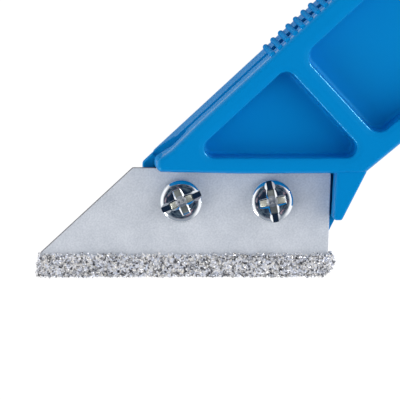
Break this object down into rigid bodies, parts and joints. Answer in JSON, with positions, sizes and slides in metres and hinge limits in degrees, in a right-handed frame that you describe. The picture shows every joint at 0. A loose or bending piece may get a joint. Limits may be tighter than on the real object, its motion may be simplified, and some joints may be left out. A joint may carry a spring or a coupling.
{
  "type": "grout rake",
  "caption": "Hand scraper for tile joints: a carbide-grit edged steel blade screwed under the nose of a ribbed, pocketed plastic handle with a thumb pad and a hanging eye.",
  "frame": {"origin": "middle of the first cross rib, on the lower flange that the tool lies on", "axes": "+X along the grip towards the butt, +Y across the grip towards the thumb pad, +Z through the thickness, up from the face that the tool lies on"},
  "size_m": [0.2026, 0.0363, 0.016],
  "materials": {
    "moulded_blue_plastic": "satin moulded blue",
    "blasted_steel": "fine blasted",
    "carbide_grit": "brazed grains, rough",
    "front_screw_zinc": "bright zinc",
    "rear_screw_zinc": "bright zinc",
    "front_nut_zinc": "zinc",
    "rear_nut_zinc": "zinc"
  },
  "bodies": {
    "root": {"handle": "moulded_blue_plastic", "blade": "blasted_steel", "carbide_grit": "carbide_grit", "front_screw": "front_screw_zinc", "rear_screw": "rear_screw_zinc", "front_nut": "front_nut_zinc", "rear_nut": "rear_nut_zinc"}
  },
  "joints": []
}
